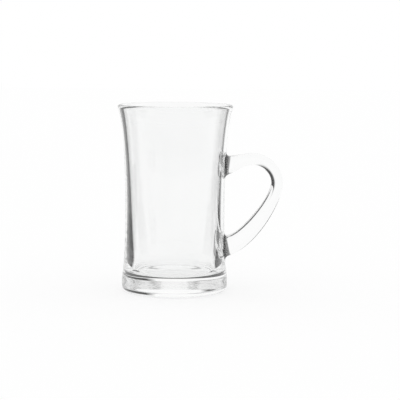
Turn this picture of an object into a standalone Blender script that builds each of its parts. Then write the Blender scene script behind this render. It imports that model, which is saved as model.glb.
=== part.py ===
"""Clear glass beer mug: a pressed cup with a heavy foot, and an ear-shaped handle welded to its side.

Metres, +Z up. The origin is where the cup's axis meets the table, and the handle points along +X.
"""

import math

import bmesh
import bpy
from mathutils import Vector

# Cup, outside
CUP_HEIGHT = 0.1300
RIM_RADIUS = 0.0400
RIM_FLARE = math.radians(15)    # lean of the wall just under the lip
RIM_STRAIGHT = 0.0012           # length of wall that keeps that lean
RIM_KNEE_DROP = 0.0150          # the wall starts to swing out this far under the rim
WAIST_RADIUS = 0.0346
WAIST_HEIGHT = 0.057
FOOT_RADIUS = 0.0369
FOOT_BAND = 0.0028              # upright band of the foot, above its rounded heel
FOOT_SHOULDER = 0.0073          # the foot swings over into the wall this far above the band
HEEL_RADIUS = 0.0040
FOOT_RING_WIDTH = 0.0060        # flat ring that the mug stands on
RECESS_DEPTH = 0.0010           # hollow of the underside, inside that ring

# Cup, inside
LIP_THICKNESS = 0.0038
WAIST_WALL = 0.0042
PLUNGER_DRAFT = math.radians(2.2)   # taper of the cavity, so that the pressing plunger pulls out
FLOOR_THICKNESS = 0.0125
FLOOR_CORNER = 0.0045

# Handle
HANDLE_REACH = 0.0404           # from the waist out to the handle's bow
HANDLE_BELOW_RIM = 0.0337       # from the rim down to the handle's crest
HANDLE_SHOULDER = 0.0217        # from the crest out to the bow
BOW_DROP = 0.0205               # from the crest down to the bow
BAR_AT_CREST = 0.0081
BAR_AT_BOW = 0.0080
HANDLE_DEPTH = 0.0120
HANDLE_EDGE = 0.0024            # rounding of the bar's long edges
TOP_WELD_DROP = 0.0018          # from the crest down to the upper weld
TOP_WELD_SPAN = 0.0133
BOTTOM_WELD_HEIGHT = 0.0242     # from the table up to the lower weld
BOTTOM_WELD_SPAN = 0.0144
WELD_FILLET = 0.0026
WELD_GAP = 0.0003               # stands for the fused seam between cup and handle

# How each outline of the handle leaves its welds, and how far each of its curves keeps its direction:
# at the upper weld, into the crest, out of the crest, into the bow, out of the bow, into the lower weld
OUTER_SLOPES = (math.radians(-3), math.radians(13))
INNER_SLOPES = (math.radians(5), math.radians(-19))
OUTER_PULLS = (0.43, 0.22, 0.58, 0.55, 0.24, 0.56)
INNER_PULLS = (0.26, 0.40, 0.69, 0.45, 0.31, 0.25)

# Fineness of the meshes
CUP_SEGMENTS = 64
WALL_STEPS = 9
ARC_STEPS = 5
RISE_STEPS = 10
SHOULDER_STEPS = 9
SWEEP_STEPS = 18
WELD_CROWDING = 1.7             # how much closer the handle's sections lie towards a weld
EDGE_STEPS = 3
SIDE_STEPS = 4                  # so that the welded ends follow the cup's round between the edges
CAP_RINGS = 3
MERGE = 1e-6
SMOOTH_UNDER = math.radians(40)   # flatter edges than this are shaded smooth

# Glass, as the photograph shows it: colourless and polished
GLASS_COLOUR = (0.94, 0.96, 0.96, 1.0)
GLASS_ROUGHNESS = 0.02
GLASS_IOR = 1.5


def clear_scene():
    """Remove every object that the file starts with."""
    for old in list(bpy.data.objects):
        bpy.data.objects.remove(old, do_unlink=True)


def glass(name):
    """A clear glass material."""
    material = bpy.data.materials.new(name)
    material.use_nodes = True
    shader = material.node_tree.nodes["Principled BSDF"]
    shader.inputs["Base Color"].default_value = GLASS_COLOUR
    shader.inputs["Roughness"].default_value = GLASS_ROUGHNESS
    shader.inputs["Metallic"].default_value = 0.0
    shader.inputs["IOR"].default_value = GLASS_IOR
    shader.inputs["Transmission Weight"].default_value = 1.0
    return material


def place(name, shape, parent):
    """Turn a bmesh into a smooth-shaded object of its own glass, under the parent."""
    bmesh.ops.recalc_face_normals(shape, faces=shape.faces)
    mesh = bpy.data.meshes.new(name)
    shape.to_mesh(mesh)
    shape.free()
    mesh.shade_smooth()
    mesh.set_sharp_from_angle(angle=SMOOTH_UNDER)
    mesh.materials.append(glass(name + "_glass"))
    piece = bpy.data.objects.new(name, mesh)
    bpy.context.scene.collection.objects.link(piece)
    piece.parent = parent
    return piece


def bezier_point(knots, t):
    """The point at t, from 0 to 1, of a cubic curve given by its two ends and their two handles."""
    start, start_handle, end_handle, end = knots
    s = 1 - t
    return start * s**3 + start_handle * (3 * s * s * t) + end_handle * (3 * s * t * t) + end * t**3


def bezier(knots, steps):
    """Even points of a cubic curve, from its first end to its last."""
    return [bezier_point(knots, step / steps) for step in range(steps + 1)]


def arc(centre, radius, start, end, steps=ARC_STEPS):
    """Points of a round corner, between two angles from the outward direction."""
    turns = [start + (end - start) * step / steps for step in range(steps + 1)]
    return [centre + radius * Vector((math.cos(turn), math.sin(turn))) for turn in turns]


# The lip is a half round between the two faces of the wall, tilted with the flare.
LIP_CENTRE = Vector((RIM_RADIUS - LIP_THICKNESS / 2, CUP_HEIGHT - LIP_THICKNESS / 2))
WALL_UP = Vector((math.sin(RIM_FLARE), math.cos(RIM_FLARE)))
WALL_OUT = Vector((math.cos(RIM_FLARE), -math.sin(RIM_FLARE)))
RIM_KNEE = CUP_HEIGHT - RIM_KNEE_DROP


def outer_wall():
    """Points (radius, height) of the cup's outside, from the top of the foot's band up to the lip."""
    band_top = Vector((FOOT_RADIUS, HEEL_RADIUS + FOOT_BAND))
    knee = band_top.y + FOOT_SHOULDER
    waist = Vector((WAIST_RADIUS, WAIST_HEIGHT))
    rim = LIP_CENTRE + WALL_OUT * LIP_THICKNESS / 2
    swell = (band_top, Vector((FOOT_RADIUS, knee)), Vector((WAIST_RADIUS, knee)), waist)
    flare = (waist, Vector((WAIST_RADIUS, RIM_KNEE)), rim - WALL_UP * RIM_STRAIGHT, rim)
    return bezier(swell, WALL_STEPS) + bezier(flare, WALL_STEPS)[1:]


def inner_wall():
    """Points (radius, height) of the cavity, from the lip down to the middle of the floor."""
    rim = LIP_CENTRE - WALL_OUT * LIP_THICKNESS / 2
    waist = Vector((WAIST_RADIUS - WAIST_WALL, WAIST_HEIGHT))
    taper = math.tan(PLUNGER_DRAFT)
    knee = Vector((waist.x + taper * (RIM_KNEE - waist.y), RIM_KNEE))
    corner_top = FLOOR_THICKNESS + FLOOR_CORNER
    corner_radius = waist.x - taper * (waist.y - corner_top)
    flare = (rim, rim - WALL_UP * RIM_STRAIGHT, knee, waist)
    corner_centre = Vector((corner_radius - FLOOR_CORNER, corner_top))
    corner = arc(corner_centre, FLOOR_CORNER, 0, -math.pi / 2)
    return bezier(flare, WALL_STEPS) + corner + [Vector((0, FLOOR_THICKNESS))]


def underside():
    """Points (radius, height) of the bottom, from the hollow's middle out to the heel's start."""
    ring_outside = FOOT_RADIUS - HEEL_RADIUS
    hollow_radius = ring_outside - FOOT_RING_WIDTH
    shares = [step / ARC_STEPS for step in range(ARC_STEPS + 1)]
    return [Vector((hollow_radius * share, RECESS_DEPTH * (1 - share * share))) for share in shares]


def cup_profile():
    """The whole section of the cup, from the axis at the bottom, round the lip, to the axis at the floor."""
    heel = arc(Vector((FOOT_RADIUS - HEEL_RADIUS, HEEL_RADIUS)), HEEL_RADIUS, -math.pi / 2, 0)
    lip = arc(LIP_CENTRE, LIP_THICKNESS / 2, -RIM_FLARE, math.pi - RIM_FLARE, 2 * ARC_STEPS)
    return underside() + heel + outer_wall() + lip[1:-1] + inner_wall()


def cup(parent):
    """The cup: its section turned about the axis."""
    shape = bmesh.new()
    points = [shape.verts.new((point.x, 0, point.y)) for point in cup_profile()]
    edges = [shape.edges.new(pair) for pair in zip(points, points[1:])]
    bmesh.ops.spin(
        shape,
        geom=points + edges,
        cent=(0, 0, 0),
        axis=(0, 0, 1),
        angle=2 * math.pi,
        steps=CUP_SEGMENTS,
        use_merge=True,
    )
    bmesh.ops.remove_doubles(shape, verts=shape.verts, dist=MERGE)
    return place("cup", shape, parent)


WELDED_WALL = outer_wall()


def seat_radius(height):
    """Radius of the surface that the handle is welded to: the cup's outside and the seam."""
    for below, above in zip(WELDED_WALL, WELDED_WALL[1:]):
        if height <= above.y:
            share = max(0.0, (height - below.y) / (above.y - below.y))
            return below.x + (above.x - below.x) * share + WELD_GAP
    return WELDED_WALL[-1].x + WELD_GAP


def on_seat(height):
    """The point (reach, height) of that surface in the handle's middle plane."""
    return Vector((seat_radius(height), height))


def handle_outline(top_weld, crest, bow, bottom_weld, slopes, pulls):
    """Three curves of one outline: weld to crest, crest to bow, bow to weld."""
    lift = Vector((math.cos(slopes[0]), math.sin(slopes[0])))
    land = Vector((math.cos(slopes[1]), math.sin(slopes[1])))
    rise = crest.x - top_weld.x
    shoulder = Vector((bow.x - crest.x, bow.y - crest.y))
    sweep = Vector((bow.x - bottom_weld.x, bow.y - bottom_weld.y))
    ahead = Vector((1, 0))
    down = Vector((0, -1))
    return (
        (top_weld, top_weld + lift * (pulls[0] * rise), crest - ahead * (pulls[1] * rise), crest),
        (crest, crest + ahead * (pulls[2] * shoulder.x), bow + down * (pulls[3] * shoulder.y), bow),
        (bow, bow + down * (pulls[4] * sweep.y), bottom_weld + land * (pulls[5] * sweep.x), bottom_weld),
    )


def handle_stations():
    """Pairs of points, on the outer and inner outline, from the upper weld to the lower one."""
    crest = Vector((WAIST_RADIUS + HANDLE_REACH - HANDLE_SHOULDER, CUP_HEIGHT - HANDLE_BELOW_RIM))
    bow = Vector((WAIST_RADIUS + HANDLE_REACH, crest.y - BOW_DROP))
    top_outside = crest.y - TOP_WELD_DROP
    outer = handle_outline(
        on_seat(top_outside), crest, bow, on_seat(BOTTOM_WELD_HEIGHT), OUTER_SLOPES, OUTER_PULLS
    )
    inner = handle_outline(
        on_seat(top_outside - TOP_WELD_SPAN),
        crest - Vector((0, BAR_AT_CREST)),
        bow - Vector((BAR_AT_BOW, 0)),
        on_seat(BOTTOM_WELD_HEIGHT + BOTTOM_WELD_SPAN),
        INNER_SLOPES,
        INNER_PULLS,
    )
    # The stations crowd towards the welds, where the fillets are.
    rise = [(step / RISE_STEPS) ** WELD_CROWDING for step in range(RISE_STEPS + 1)]
    shoulder = [step / SHOULDER_STEPS for step in range(1, SHOULDER_STEPS + 1)]
    sweep = [1 - (step / SWEEP_STEPS) ** WELD_CROWDING for step in reversed(range(SWEEP_STEPS))]
    stations = []
    for outside, inside, shares in zip(outer, inner, (rise, shoulder, sweep)):
        for share in shares:
            stations.append((bezier_point(outside, share), bezier_point(inside, share)))
    return stations


def stand_off(point):
    """How far a point of an outline stands out from the welded surface."""
    return max(0.0, point.x - seat_radius(point.y))


def fillet_growth(distance):
    """How much the weld's fillet adds to each side of the bar, at this distance from the cup."""
    if distance >= WELD_FILLET:
        return 0.0
    return WELD_FILLET - math.sqrt(WELD_FILLET**2 - (WELD_FILLET - distance) ** 2)


def bar_section(across, depth, edge):
    """Points (across, along Y) of a rectangle with round corners, about its middle."""
    corners = []
    for quarter, (side, face) in enumerate(((1, 1), (-1, 1), (-1, -1), (1, -1))):
        centre = Vector((side * (across / 2 - edge), face * (depth / 2 - edge)))
        corners.append(arc(centre, edge, quarter * math.pi / 2, (quarter + 1) * math.pi / 2, EDGE_STEPS))
    points = []
    for corner, following in zip(corners, corners[1:] + corners[:1]):
        points += corner
        for step in range(1, SIDE_STEPS):
            points.append(corner[-1].lerp(following[0], step / SIDE_STEPS))
    return points


def handle_ring(outside, inside, shrink=1.0):
    """One section of the bar, as points in space, bent to the cup's round where it nears a weld."""
    outside_gap = stand_off(outside)
    inside_gap = stand_off(inside)
    gap = (outside_gap + inside_gap) / 2
    towards = (outside - inside).normalized()
    outside = outside + towards * fillet_growth(outside_gap)
    inside = inside - towards * fillet_growth(inside_gap)
    depth = HANDLE_DEPTH + 2 * fillet_growth(gap)
    middle = (outside + inside) / 2
    edge = min(HANDLE_EDGE + fillet_growth(gap), depth / 2, (outside - inside).length / 2)
    bend = max(0.0, 1 - 2 * gap / HANDLE_DEPTH)
    ring = []
    for spot in bar_section((outside - inside).length, depth, edge):
        place_in_plane = middle + towards * (spot.x * shrink)
        sideways = spot.y * shrink
        seat = seat_radius(place_in_plane.y)
        flat_reach = place_in_plane.x
        if gap < MERGE:
            flat_reach = seat
        sag = seat - math.sqrt(max(0.0, seat**2 - sideways**2))
        ring.append(Vector((flat_reach - sag * bend, sideways, place_in_plane.y)))
    return ring


def join_rings(shape, first, second):
    """Quads between two rings of as many vertices."""
    for index in range(len(first)):
        following = (index + 1) % len(first)
        shape.faces.new((first[index], first[following], second[following], second[index]))


def close_end(shape, ring, outside, inside):
    """Cap a weld with rings that follow the cup's round, down to one middle vertex."""
    for step in range(CAP_RINGS - 1, 0, -1):
        smaller = [shape.verts.new(point) for point in handle_ring(outside, inside, step / CAP_RINGS)]
        join_rings(shape, ring, smaller)
        ring = smaller
    heart = shape.verts.new(handle_ring(outside, inside, 0.0)[0])
    for index in range(len(ring)):
        shape.faces.new((ring[index], ring[(index + 1) % len(ring)], heart))


def handle(parent):
    """The handle: a bar with round edges along its two outlines, closed against the cup at both welds."""
    shape = bmesh.new()
    stations = handle_stations()
    rings = [[shape.verts.new(point) for point in handle_ring(*station)] for station in stations]
    for first, second in zip(rings, rings[1:]):
        join_rings(shape, first, second)
    close_end(shape, rings[0], *stations[0])
    close_end(shape, rings[-1], *stations[-1])
    return place("handle", shape, parent)


clear_scene()
mug = bpy.data.objects.new("mug", None)
bpy.context.scene.collection.objects.link(mug)
cup(mug)
handle(mug)
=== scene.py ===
"""Looks of a clear glass beer mug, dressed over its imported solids.

Metres, +Z up. The cup stands on the origin and the handle points along +X.
"""

import math

import bmesh
import bpy
from mathutils import Matrix, Vector


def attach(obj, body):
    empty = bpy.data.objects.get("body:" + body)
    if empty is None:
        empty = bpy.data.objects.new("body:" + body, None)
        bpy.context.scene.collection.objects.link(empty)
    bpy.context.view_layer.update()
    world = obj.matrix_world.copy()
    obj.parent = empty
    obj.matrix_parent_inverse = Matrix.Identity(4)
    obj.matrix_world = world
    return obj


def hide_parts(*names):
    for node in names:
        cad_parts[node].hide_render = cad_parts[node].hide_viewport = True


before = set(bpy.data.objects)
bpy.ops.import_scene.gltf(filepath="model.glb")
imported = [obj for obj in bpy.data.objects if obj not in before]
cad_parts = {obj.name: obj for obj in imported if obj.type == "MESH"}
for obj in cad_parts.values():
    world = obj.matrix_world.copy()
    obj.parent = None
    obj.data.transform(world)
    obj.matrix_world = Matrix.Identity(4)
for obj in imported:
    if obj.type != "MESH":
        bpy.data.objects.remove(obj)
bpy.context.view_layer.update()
scene = bpy.context.scene


# The cup: one gob of colourless glass pressed in a mould by a plunger, then fire-polished. Its wall flares to
# a rounded lip, draws in to a waist and swells again into a heavy solid foot. The handle is fused to it at
# two places, and there the cup has no surface of its own any more.
CUP_HEIGHT = 0.1300
RIM_RADIUS = 0.0400
RIM_FLARE = math.radians(15)
RIM_STRAIGHT = 0.0012
RIM_KNEE = CUP_HEIGHT - 0.0150
WAIST_RADIUS = 0.0346
WAIST_HEIGHT = 0.057
FOOT_RADIUS = 0.0369
FOOT_BAND = 0.0028
FOOT_SHOULDER = 0.0073
HEEL_RADIUS = 0.0040
FOOT_RING_WIDTH = 0.0060
RECESS_DEPTH = 0.0010
LIP_THICKNESS = 0.0038
WAIST_WALL = 0.0042
PLUNGER_DRAFT = math.radians(2.2)
FLOOR_THICKNESS = 0.0125
FLOOR_CORNER = 0.0045
LIP_CENTRE = Vector((RIM_RADIUS - LIP_THICKNESS / 2, CUP_HEIGHT - LIP_THICKNESS / 2))
WALL_UP = Vector((math.sin(RIM_FLARE), math.cos(RIM_FLARE)))
WALL_OUT = Vector((math.cos(RIM_FLARE), -math.sin(RIM_FLARE)))
CUP_SEGMENTS = 192
WALL_STEPS = 40
ARC_STEPS = 12
FLAT_STEPS = 8
MERGE = 1e-6


def bezier_point(knots, t):
    """The point at t, from 0 to 1, of a cubic curve given by its two ends and their two handles."""
    start, start_handle, end_handle, end = knots
    s = 1 - t
    return start * s**3 + start_handle * (3 * s * s * t) + end_handle * (3 * s * t * t) + end * t**3


def bezier(knots, steps):
    """Even points of a cubic curve, from its first end to its last."""
    return [bezier_point(knots, step / steps) for step in range(steps + 1)]


def arc(centre, radius, start, end, steps):
    """Points of a round corner, between two angles from the outward direction."""
    turns = [start + (end - start) * step / steps for step in range(steps + 1)]
    return [centre + radius * Vector((math.cos(turn), math.sin(turn))) for turn in turns]


def straight(start, end, steps):
    """Points after the start of a straight stretch, without its end."""
    return [start.lerp(end, step / steps) for step in range(1, steps)]


def outer_wall():
    """Points (radius, height) of the cup's outside, from the top of the foot's band up to the lip."""
    band_top = Vector((FOOT_RADIUS, HEEL_RADIUS + FOOT_BAND))
    knee = band_top.y + FOOT_SHOULDER
    waist = Vector((WAIST_RADIUS, WAIST_HEIGHT))
    rim = LIP_CENTRE + WALL_OUT * LIP_THICKNESS / 2
    swell = (band_top, Vector((FOOT_RADIUS, knee)), Vector((WAIST_RADIUS, knee)), waist)
    flare = (waist, Vector((WAIST_RADIUS, RIM_KNEE)), rim - WALL_UP * RIM_STRAIGHT, rim)
    return bezier(swell, WALL_STEPS) + bezier(flare, WALL_STEPS)[1:]


def inner_wall():
    """Points (radius, height) of the cavity, from the lip down to the middle of the floor."""
    rim = LIP_CENTRE - WALL_OUT * LIP_THICKNESS / 2
    waist = Vector((WAIST_RADIUS - WAIST_WALL, WAIST_HEIGHT))
    taper = math.tan(PLUNGER_DRAFT)
    knee = Vector((waist.x + taper * (RIM_KNEE - waist.y), RIM_KNEE))
    corner_top = FLOOR_THICKNESS + FLOOR_CORNER
    corner_radius = waist.x - taper * (waist.y - corner_top)
    flare = (rim, rim - WALL_UP * RIM_STRAIGHT, knee, waist)
    corner_centre = Vector((corner_radius - FLOOR_CORNER, corner_top))
    corner = arc(corner_centre, FLOOR_CORNER, 0, -math.pi / 2, ARC_STEPS)
    floor_middle = Vector((0, FLOOR_THICKNESS))
    lower_wall = straight(waist, corner[0], FLAT_STEPS)
    floor = straight(corner[-1], floor_middle, FLAT_STEPS) + [floor_middle]
    return bezier(flare, WALL_STEPS) + lower_wall + corner + floor


def underside():
    """Points (radius, height) of the bottom, from the hollow's middle out to the heel's start."""
    hollow_radius = FOOT_RADIUS - HEEL_RADIUS - FOOT_RING_WIDTH
    shares = [step / ARC_STEPS for step in range(ARC_STEPS + 1)]
    return [Vector((hollow_radius * share, RECESS_DEPTH * (1 - share * share))) for share in shares]


def cup_profile():
    """The whole section of the cup, from the middle of its bottom, round the lip, to that of its floor."""
    heel = arc(Vector((FOOT_RADIUS - HEEL_RADIUS, HEEL_RADIUS)), HEEL_RADIUS, -math.pi / 2, 0, ARC_STEPS)
    wall = outer_wall()
    band = straight(heel[-1], wall[0], FLAT_STEPS)
    lip = arc(LIP_CENTRE, LIP_THICKNESS / 2, -RIM_FLARE, math.pi - RIM_FLARE, 2 * ARC_STEPS)
    return underside() + heel + band + wall + lip[1:-1] + inner_wall()


class Signal:
    """A shader socket that can be reckoned with: + - * and, through node(), any other node."""

    def __init__(self, tree, socket):
        self.tree = tree
        self.socket = socket

    def node(self, kind, inputs, output=0, **settings):
        """A new node of this kind, its inputs plugged with signals or plain values."""
        made = self.tree.nodes.new(kind)
        for setting, value in settings.items():
            setattr(made, setting, value)
        for name, value in inputs.items():
            if isinstance(value, Signal):
                self.tree.links.new(value.socket, made.inputs[name])
            else:
                made.inputs[name].default_value = value
        return Signal(self.tree, made.outputs[output])

    def maths(self, operation, first, second):
        return self.node("ShaderNodeMath", {0: first, 1: second}, operation=operation)

    def __add__(self, other):
        return self.maths("ADD", self, other)

    def __sub__(self, other):
        return self.maths("SUBTRACT", self, other)

    def __rsub__(self, other):
        return self.maths("SUBTRACT", other, self)

    def __mul__(self, other):
        return self.maths("MULTIPLY", self, other)

    __radd__ = __add__
    __rmul__ = __mul__

    def mix(self, share, first, second):
        """A colour between two colours."""
        return self.node("ShaderNodeMix", {0: share, 6: first, 7: second}, 2, data_type="RGBA")

    def into(self, shader, name):
        self.tree.links.new(self.socket, shader.inputs[name])


def source(tree, kind, output, **settings):
    """A signal that starts at a node without inputs."""
    made = tree.nodes.new(kind)
    for setting, value in settings.items():
        setattr(made, setting, value)
    return Signal(tree, made.outputs[output])


WAVE_SIZE = 60.0
WAVE_DETAIL = 1.0
WAVE_HEIGHT = 0.000003
SMEAR_SIZE = 35.0
SMEAR_DETAIL = 4.0
SMEAR_ROUGHNESS = 0.008
CLEAREST = (0.985, 0.985, 0.985, 1)
DIMMEST = (0.955, 0.96, 0.958, 1)
# Painted shade at the welds: a near-black colour for the glass, and the power that spreads it out from the
# weld creases.
PAINTED_SHADE_LAYER = "painted_weld_shade"
PAINTED_WELD_SHADE = (0.0005, 0.0005, 0.0005, 1)
PAINTED_SHADE_SPREAD = 0.25
GLASS_INDEX = 1.5


def glass(name):
    """Colourless glass: faintly wavy from the mould, with a breath of wiping smears and uneven clearness.

    In the creases of the welds its colour is painted dark: painted shade for the dark that glass shows by
    refraction where it has been rolled in on itself.
    """
    material = bpy.data.materials.new(name)
    material.use_nodes = True
    tree = material.node_tree
    shader = tree.nodes["Principled BSDF"]
    shader.inputs["IOR"].default_value = GLASS_INDEX
    shader.inputs["Transmission Weight"].default_value = 1.0
    place = source(tree, "ShaderNodeTexCoord", "Object")
    wave_shape = {"Vector": place, "Scale": WAVE_SIZE, "Detail": WAVE_DETAIL}
    wave = place.node("ShaderNodeTexNoise", wave_shape)
    bump = {"Height": wave, "Distance": WAVE_HEIGHT, "Strength": 1.0}
    place.node("ShaderNodeBump", bump).into(shader, "Normal")
    smear_shape = {"Vector": place, "Scale": SMEAR_SIZE, "Detail": SMEAR_DETAIL}
    smear = place.node("ShaderNodeTexNoise", smear_shape)
    (smear * smear * SMEAR_ROUGHNESS).into(shader, "Roughness")
    clearness = place.mix(smear, CLEAREST, DIMMEST)
    # Painted shade: the colour goes towards near black in the weld creases, for the dark that refraction
    # shows there.
    painted_weld_shade = source(tree, "ShaderNodeAttribute", "Fac", attribute_name=PAINTED_SHADE_LAYER)
    depth = painted_weld_shade.maths("POWER", painted_weld_shade, PAINTED_SHADE_SPREAD)
    place.mix(depth, clearness, PAINTED_WELD_SHADE).into(shader, "Base Color")
    return material


def fused(name):
    """The inside of a weld, where two glasses have run together and light goes straight on."""
    material = bpy.data.materials.new(name)
    material.use_nodes = True
    nodes = material.node_tree.nodes
    nodes.remove(nodes["Principled BSDF"])
    through = nodes.new("ShaderNodeBsdfTransparent")
    material.node_tree.links.new(through.outputs[0], nodes["Material Output"].inputs["Surface"])
    return material


def finish_piece(name, shape, materials):
    """Turn a bmesh into a smooth-shaded object at the origin."""
    bmesh.ops.recalc_face_normals(shape, faces=shape.faces)
    mesh = bpy.data.meshes.new(name)
    shape.to_mesh(mesh)
    shape.free()
    mesh.shade_smooth()
    for material in materials:
        mesh.materials.append(material)
    piece = bpy.data.objects.new(name, mesh)
    scene.collection.objects.link(piece)
    return piece


cup_shape = bmesh.new()
cup_shape.verts.layers.float.new(PAINTED_SHADE_LAYER)
profile = [cup_shape.verts.new((point.x, 0, point.y)) for point in cup_profile()]
profile_edges = [cup_shape.edges.new(pair) for pair in zip(profile, profile[1:])]
bmesh.ops.spin(
    cup_shape,
    geom=profile + profile_edges,
    cent=(0, 0, 0),
    axis=(0, 0, 1),
    angle=2 * math.pi,
    steps=CUP_SEGMENTS,
    use_merge=True,
)
bmesh.ops.remove_doubles(cup_shape, verts=cup_shape.verts, dist=MERGE)


# The handle: an ear-shaped flat bar of the same glass, pressed by itself, with rounded long edges. Both its
# ends are welded hot to the cup's side, where the glass has run out into small fillets.
HANDLE_REACH = 0.0404
HANDLE_BELOW_RIM = 0.0337
HANDLE_SHOULDER = 0.0217
BOW_DROP = 0.0205
BAR_AT_CREST = 0.0081
BAR_AT_BOW = 0.0080
HANDLE_DEPTH = 0.0120
HANDLE_EDGE = 0.0024
TOP_WELD_DROP = 0.0018
TOP_WELD_SPAN = 0.0133
BOTTOM_WELD_HEIGHT = 0.0242
BOTTOM_WELD_SPAN = 0.0144
WELD_FILLET = 0.0026
OUTER_SLOPES = (math.radians(-3), math.radians(13))
INNER_SLOPES = (math.radians(5), math.radians(-19))
OUTER_PULLS = (0.43, 0.22, 0.58, 0.55, 0.24, 0.56)
INNER_PULLS = (0.26, 0.40, 0.69, 0.45, 0.31, 0.25)
RISE_STEPS = 30
SHOULDER_STEPS = 24
SWEEP_STEPS = 48
WELD_CROWDING = 1.7
EDGE_STEPS = 6
SIDE_STEPS = 10
CAP_RINGS = 8
WELD_MARGIN = 0.0012
GLASS_SLOT = 0
FUSED_SLOT = 1
welded_wall = outer_wall()


def seat_radius(height):
    """Radius of the cup's outside, which the handle is welded to."""
    for below, above in zip(welded_wall, welded_wall[1:]):
        if height <= above.y:
            share = max(0.0, (height - below.y) / (above.y - below.y))
            return below.x + (above.x - below.x) * share
    return welded_wall[-1].x


def on_seat(height):
    """The point (reach, height) of that surface in the handle's middle plane."""
    return Vector((seat_radius(height), height))


def handle_outline(top_weld, crest, bow, bottom_weld, slopes, pulls):
    """Three curves of one outline: weld to crest, crest to bow, bow to weld."""
    lift = Vector((math.cos(slopes[0]), math.sin(slopes[0])))
    land = Vector((math.cos(slopes[1]), math.sin(slopes[1])))
    rise = crest.x - top_weld.x
    shoulder = Vector((bow.x - crest.x, bow.y - crest.y))
    sweep = Vector((bow.x - bottom_weld.x, bow.y - bottom_weld.y))
    ahead = Vector((1, 0))
    down = Vector((0, -1))
    return (
        (top_weld, top_weld + lift * (pulls[0] * rise), crest - ahead * (pulls[1] * rise), crest),
        (crest, crest + ahead * (pulls[2] * shoulder.x), bow + down * (pulls[3] * shoulder.y), bow),
        (bow, bow + down * (pulls[4] * sweep.y), bottom_weld + land * (pulls[5] * sweep.x), bottom_weld),
    )


def handle_stations():
    """Pairs of points, on the outer and inner outline, from the upper weld to the lower one."""
    crest = Vector((WAIST_RADIUS + HANDLE_REACH - HANDLE_SHOULDER, CUP_HEIGHT - HANDLE_BELOW_RIM))
    bow = Vector((WAIST_RADIUS + HANDLE_REACH, crest.y - BOW_DROP))
    top_outside = crest.y - TOP_WELD_DROP
    outer = handle_outline(
        on_seat(top_outside), crest, bow, on_seat(BOTTOM_WELD_HEIGHT), OUTER_SLOPES, OUTER_PULLS
    )
    inner = handle_outline(
        on_seat(top_outside - TOP_WELD_SPAN),
        crest - Vector((0, BAR_AT_CREST)),
        bow - Vector((BAR_AT_BOW, 0)),
        on_seat(BOTTOM_WELD_HEIGHT + BOTTOM_WELD_SPAN),
        INNER_SLOPES,
        INNER_PULLS,
    )
    rise = [(step / RISE_STEPS) ** WELD_CROWDING for step in range(RISE_STEPS + 1)]
    shoulder = [step / SHOULDER_STEPS for step in range(1, SHOULDER_STEPS + 1)]
    sweep = [1 - (step / SWEEP_STEPS) ** WELD_CROWDING for step in reversed(range(SWEEP_STEPS))]
    stations = []
    for outside, inside, shares in zip(outer, inner, (rise, shoulder, sweep)):
        for share in shares:
            stations.append((bezier_point(outside, share), bezier_point(inside, share)))
    return stations


def stand_off(point):
    """How far a point of an outline stands out from the cup."""
    return max(0.0, point.x - seat_radius(point.y))


def fillet_growth(distance):
    """How much the weld's fillet adds to each side of the bar, at this distance from the cup."""
    if distance >= WELD_FILLET:
        return 0.0
    return WELD_FILLET - math.sqrt(WELD_FILLET**2 - (WELD_FILLET - distance) ** 2)


def painted_shade_share(outside, inside):
    """How much painted shade a section of the bar gets: 1 at its weld, falling to 0 where the fillet ends."""
    gap = (stand_off(outside) + stand_off(inside)) / 2
    return max(0.0, 1 - gap / WELD_FILLET)


def bar_section(across, depth, edge):
    """Points (across, along Y) of a rectangle with round corners, about its middle."""
    corners = []
    for quarter, (side, face) in enumerate(((1, 1), (-1, 1), (-1, -1), (1, -1))):
        centre = Vector((side * (across / 2 - edge), face * (depth / 2 - edge)))
        corners.append(arc(centre, edge, quarter * math.pi / 2, (quarter + 1) * math.pi / 2, EDGE_STEPS))
    points = []
    for corner, following in zip(corners, corners[1:] + corners[:1]):
        points += corner + straight(corner[-1], following[0], SIDE_STEPS)
    return points


def handle_ring(outside, inside, shrink=1.0):
    """One section of the bar, as points in space, bent to the cup's round where it nears a weld."""
    outside_gap = stand_off(outside)
    inside_gap = stand_off(inside)
    gap = (outside_gap + inside_gap) / 2
    towards = (outside - inside).normalized()
    outside = outside + towards * fillet_growth(outside_gap)
    inside = inside - towards * fillet_growth(inside_gap)
    depth = HANDLE_DEPTH + 2 * fillet_growth(gap)
    middle = (outside + inside) / 2
    edge = min(HANDLE_EDGE + fillet_growth(gap), depth / 2, (outside - inside).length / 2)
    bend = max(0.0, 1 - 2 * gap / HANDLE_DEPTH)
    ring = []
    for spot in bar_section((outside - inside).length, depth, edge):
        place_in_plane = middle + towards * (spot.x * shrink)
        sideways = spot.y * shrink
        seat = seat_radius(place_in_plane.y)
        flat_reach = place_in_plane.x
        if gap < MERGE:
            flat_reach = seat
        sag = seat - math.sqrt(max(0.0, seat**2 - sideways**2))
        ring.append(Vector((flat_reach - sag * bend, sideways, place_in_plane.y)))
    return ring


def add_ring(shape, points, painted_weld_shade=0.0):
    """A closed loop of edges through these points, marked with how much painted shade they get near a weld.
    """
    verts = [shape.verts.new(point) for point in points]
    for vert in verts:
        vert[shape.verts.layers.float[PAINTED_SHADE_LAYER]] = painted_weld_shade
    return [shape.edges.new(pair) for pair in zip(verts, verts[1:] + verts[:1])]


def bridge(shape, first, second, slot=GLASS_SLOT):
    """Faces between two loops of edges."""
    for face in bmesh.ops.bridge_loops(shape, edges=first + second)["faces"]:
        face.material_index = slot


def close_weld(shape, ring, station):
    """Fill a weld with rings that follow the cup's round."""
    for step in range(CAP_RINGS - 1, 0, -1):
        smaller = add_ring(shape, handle_ring(*station, step / CAP_RINGS))
        bridge(shape, ring, smaller, FUSED_SLOT)
        ring = smaller
    for face in bmesh.ops.contextual_create(shape, geom=ring)["faces"]:
        face.material_index = FUSED_SLOT


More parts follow.
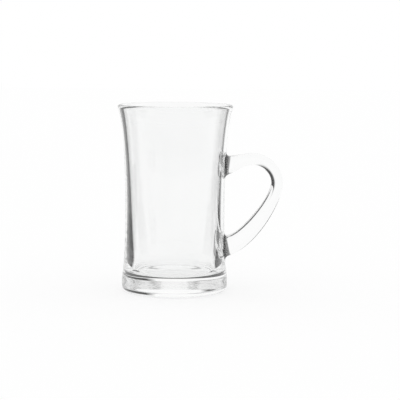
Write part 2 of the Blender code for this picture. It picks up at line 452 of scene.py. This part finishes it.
def open_weld(shape, station):
    """Cut a window into the cup's outside and join its border to the outline of the weld."""
    points = handle_ring(*station)
    top = max(point.z for point in points) + WELD_MARGIN
    bottom = min(point.z for point in points) - WELD_MARGIN
    half_width = max(point.y for point in points) + WELD_MARGIN
    window = []
    for face in shape.faces:
        middle = face.calc_center_median()
        outside = math.hypot(middle.x, middle.y) > seat_radius(middle.z) - WAIST_WALL / 4
        if outside and middle.x > 0 and bottom < middle.z < top and abs(middle.y) < half_width:
            window.append(face)
    bmesh.ops.delete(shape, geom=window, context="FACES")
    border = [edge for edge in shape.edges if edge.is_boundary]
    ring = add_ring(shape, points)
    bridge(shape, border, ring)
    close_weld(shape, ring, station)


stations = handle_stations()
handle_shape = bmesh.new()
handle_shape.verts.layers.float.new(PAINTED_SHADE_LAYER)
# Rings near the welds get a share of painted shade, which darkens the glass's colour there.
rings = [add_ring(handle_shape, handle_ring(*station), painted_shade_share(*station)) for station in stations]
for first, second in zip(rings, rings[1:]):
    bridge(handle_shape, first, second)
for ring, station in ((rings[0], stations[0]), (rings[-1], stations[-1])):
    close_weld(handle_shape, ring, station)
    open_weld(cup_shape, station)

cup = finish_piece("cup_of_glass", cup_shape, [glass("cup_glass"), fused("cup_weld")])
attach(cup, "root")
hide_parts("cup")

handle = finish_piece("handle_of_glass", handle_shape, [glass("handle_glass"), fused("handle_weld")])
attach(handle, "root")
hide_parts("handle")


# The floor: a plain white table. It looks white by itself and through the glass, and a part of what it shows
# is the light that falls on it, so the mug's soft shadow stays.
FLOOR_REACH = 4.0
FLOOR_DROP = 0.0002
FLOOR_GLOW = 0.80
FLOOR_PAINT = 0.99


def is_seen(tree):
    """1 for rays that show a thing to the camera, straight or by way of the glass, and 0 for the others."""
    camera_ray = source(tree, "ShaderNodeLightPath", "Is Camera Ray")
    glossy_ray = source(tree, "ShaderNodeLightPath", "Is Glossy Ray")
    through_ray = source(tree, "ShaderNodeLightPath", "Is Transmission Ray")
    return camera_ray.maths("MAXIMUM", camera_ray.maths("MAXIMUM", camera_ray, glossy_ray), through_ray)


def stage_piece(name, shape, material):
    """A piece of the studio, which isn't part of the mug."""
    mesh = bpy.data.meshes.new(name)
    shape.to_mesh(mesh)
    shape.free()
    mesh.materials.append(material)
    piece = bpy.data.objects.new(name, mesh)
    scene.collection.objects.link(piece)
    return piece


floor_paint = bpy.data.materials.new("white_table")
floor_paint.use_nodes = True
floor_tree = floor_paint.node_tree
floor_shader = floor_tree.nodes["Principled BSDF"]
floor_shader.inputs["Base Color"].default_value = (FLOOR_PAINT, FLOOR_PAINT, FLOOR_PAINT, 1)
floor_shader.inputs["Roughness"].default_value = 1.0
floor_shader.inputs["Specular IOR Level"].default_value = 0.0
seen = is_seen(floor_tree)
glow = seen.node("ShaderNodeEmission", {"Strength": 1.0})
lit = Signal(floor_tree, floor_shader.outputs["BSDF"])
mixed = seen.node("ShaderNodeMixShader", {0: seen * FLOOR_GLOW, 1: lit, 2: glow})
mixed.into(floor_tree.nodes["Material Output"], "Surface")
floor_shape = bmesh.new()
bmesh.ops.create_grid(floor_shape, x_segments=1, y_segments=1, size=FLOOR_REACH)
bmesh.ops.translate(floor_shape, verts=floor_shape.verts, vec=(0, 0, -FLOOR_DROP))
stage_piece("table", floor_shape, floor_paint)


# The flags: dark cards that lie and stand round the mug, out of the camera's sight, and draw its edges dark.
# A row is a line between two points (distance, height), swept between two directions in degrees from +Y
# towards +X, and a grey. The directions' ends fade out, and the two kinds lie and stand a little apart.
BENT_LIFT = 0.0001
EDGE_LIFT = 0.0003
FLAG_DEGREES = 2.0
FLAG_FADE = 8.0
FLAG_SHARE = "flag_share"
NONE_OR_ONCE = 0.5
ONE_WALL_OR_TWO = 3.5
BENT_FLAGS = (
    ((0.060, BENT_LIFT), (0.500, BENT_LIFT), 42, 88, 0.04),
    ((0.060, BENT_LIFT), (0.280, BENT_LIFT), -92, -50, 0.04),
    ((0.045, BENT_LIFT), (0.075, BENT_LIFT), -45, 45, 0.10),
    ((0.500, 0.000), (0.500, 0.300), 12, 78, 0.03),
    ((0.500, 0.150), (0.500, 0.300), -70, -12, 0.03),
)
EDGE_FLAGS = (
    ((0.060, EDGE_LIFT), (0.280, EDGE_LIFT), -79, -20, 0.04),
    ((0.280, EDGE_LIFT), (0.520, EDGE_LIFT), -79, -20, 0.10),
    ((0.060, EDGE_LIFT), (0.520, EDGE_LIFT), 34, 85, 0.06),
    ((0.520, 0.000), (0.520, 0.300), -64, -18, 0.10),
    ((0.520, 0.000), (0.520, 0.300), 33, 75, 0.10),
    ((0.520, 0.300), (0.520, 1.000), -110, -55, 0.05),
    ((0.520, 0.300), (0.520, 1.000), 55, 110, 0.05),
)


def flag_cloth(grey, edges_only):
    """Dull cloth of this grey, which shows only to a part of the light in the glass.

    Edge flags show in light that was mirrored inside the glass. The others show in light that was only bent,
    by one wall or the handle, so that a view straight through both walls stays clear.
    """
    material = bpy.data.materials.new("flag_cloth")
    material.use_nodes = True
    tree = material.node_tree
    shader = tree.nodes["Principled BSDF"]
    shader.inputs["Base Color"].default_value = (0, 0, 0, 1)
    shader.inputs["Specular IOR Level"].default_value = 0.0
    shader.inputs["Emission Color"].default_value = (grey, grey, grey, 1)
    shader.inputs["Emission Strength"].default_value = 1.0
    crossed = source(tree, "ShaderNodeLightPath", "Transmission Depth")
    share = source(tree, "ShaderNodeAttribute", "Fac", attribute_name=FLAG_SHARE)
    share = share * crossed.maths("GREATER_THAN", crossed, NONE_OR_ONCE)
    mirrored = source(tree, "ShaderNodeLightPath", "Ray Depth") - crossed
    if edges_only:
        share = share * mirrored.maths("GREATER_THAN", mirrored, NONE_OR_ONCE)
    else:
        share = share * mirrored.maths("LESS_THAN", mirrored, NONE_OR_ONCE)
        share = share * crossed.maths("LESS_THAN", crossed, ONE_WALL_OR_TWO)
    cloth = Signal(tree, shader.outputs["BSDF"])
    clear_way = share.node("ShaderNodeBsdfTransparent", {})
    seen_cloth = share.node("ShaderNodeMixShader", {0: share, 1: clear_way, 2: cloth})
    seen_cloth.into(tree.nodes["Material Output"], "Surface")
    return material


def sweep_flag(first, second, start, end, material):
    """A sheet made by turning the line between two points (distance, height) about the mug's axis."""
    shape = bmesh.new()
    turn = math.radians(90 - start)
    verts = []
    for distance, height in (first, second):
        verts.append(shape.verts.new((distance * math.cos(turn), distance * math.sin(turn), height)))
    edge = shape.edges.new(verts)
    bmesh.ops.spin(
        shape,
        geom=verts + [edge],
        cent=(0, 0, 0),
        axis=(0, 0, 1),
        angle=math.radians(start - end),
        steps=math.ceil((end - start) / FLAG_DEGREES),
    )
    share_layer = shape.verts.layers.float.new(FLAG_SHARE)
    for vert in shape.verts:
        direction = math.degrees(math.atan2(vert.co.x, vert.co.y))
        vert[share_layer] = min(1.0, (direction - start) / FLAG_FADE, (end - direction) / FLAG_FADE)
    flag = stage_piece("flag", shape, material)
    flag.visible_camera = False
    flag.visible_diffuse = False
    flag.visible_shadow = False


for rows, edges_only in ((BENT_FLAGS, False), (EDGE_FLAGS, True)):
    for first, second, start, end, grey in rows:
        sweep_flag(first, second, start, end, flag_cloth(grey, edges_only))


# The studio: soft even light from a white sky. For the glass the sky is dimmer on the camera's own side.
SKY_BACK = 1.0
SKY_FRONT = 0.75
FRONT_EDGE = -0.6
BACK_EDGE = 0.2
sky = bpy.data.worlds.new("studio")
sky.use_nodes = True
sky_tree = sky.node_tree
way = source(sky_tree, "ShaderNodeTexCoord", "Generated")
ahead_share = way.node("ShaderNodeSeparateXYZ", {"Vector": way}, "Y")
from_front_to_back = {
    "Value": ahead_share,
    "From Min": FRONT_EDGE,
    "From Max": BACK_EDGE,
    "To Min": SKY_FRONT,
    "To Max": SKY_BACK,
}
level = way.node("ShaderNodeMapRange", from_front_to_back, interpolation_type="SMOOTHSTEP")
straight_ray = source(sky_tree, "ShaderNodeLightPath", "Is Camera Ray")
floor_ray = source(sky_tree, "ShaderNodeLightPath", "Is Diffuse Ray")
plain = straight_ray.maths("MAXIMUM", straight_ray, floor_ray)
(level + (1 - level) * plain).into(sky_tree.nodes["Background"], "Strength")
sky_tree.nodes["Background"].inputs["Color"].default_value = (1, 1, 1, 1)
scene.world = sky

# Light wanders far inside clear glass before it comes out, so its path isn't cut short.
GLASS_BOUNCES = 96
scene.cycles.max_bounces = GLASS_BOUNCES
scene.cycles.glossy_bounces = GLASS_BOUNCES
scene.cycles.transmission_bounces = GLASS_BOUNCES
scene.cycles.transparent_max_bounces = GLASS_BOUNCES

# The camera: at the photograph's angle, a long lens a little above the rim.
CAMERA_DISTANCE = 1.093
CAMERA_HEIGHT = 0.1796
CAMERA_YAW = math.radians(0.917)
CAMERA_PITCH = math.radians(-6.065)
CAMERA_ROLL = math.radians(0.429)
FOCUS_PIXELS = 1576.7
PICTURE_WIDTH = 400
SENSOR_WIDTH = 36.0
ahead = Vector((
    math.sin(CAMERA_YAW) * math.cos(CAMERA_PITCH),
    math.cos(CAMERA_YAW) * math.cos(CAMERA_PITCH),
    math.sin(CAMERA_PITCH),
))
level_right = Vector((math.cos(CAMERA_YAW), -math.sin(CAMERA_YAW), 0))
level_up = level_right.cross(ahead)
right = level_right * math.cos(CAMERA_ROLL) + level_up * math.sin(CAMERA_ROLL)
up = level_up * math.cos(CAMERA_ROLL) - level_right * math.sin(CAMERA_ROLL)
lens = bpy.data.cameras.new("camera")
lens.sensor_width = SENSOR_WIDTH
lens.sensor_fit = "HORIZONTAL"
lens.lens = FOCUS_PIXELS / PICTURE_WIDTH * SENSOR_WIDTH
camera = bpy.data.objects.new("camera", lens)
stand = Matrix.Translation((0, -CAMERA_DISTANCE, CAMERA_HEIGHT))
camera.matrix_world = stand @ Matrix((right, up, -ahead)).transposed().to_4x4()
scene.collection.objects.link(camera)
scene.camera = camera
scene.view_settings.view_transform = "Standard"
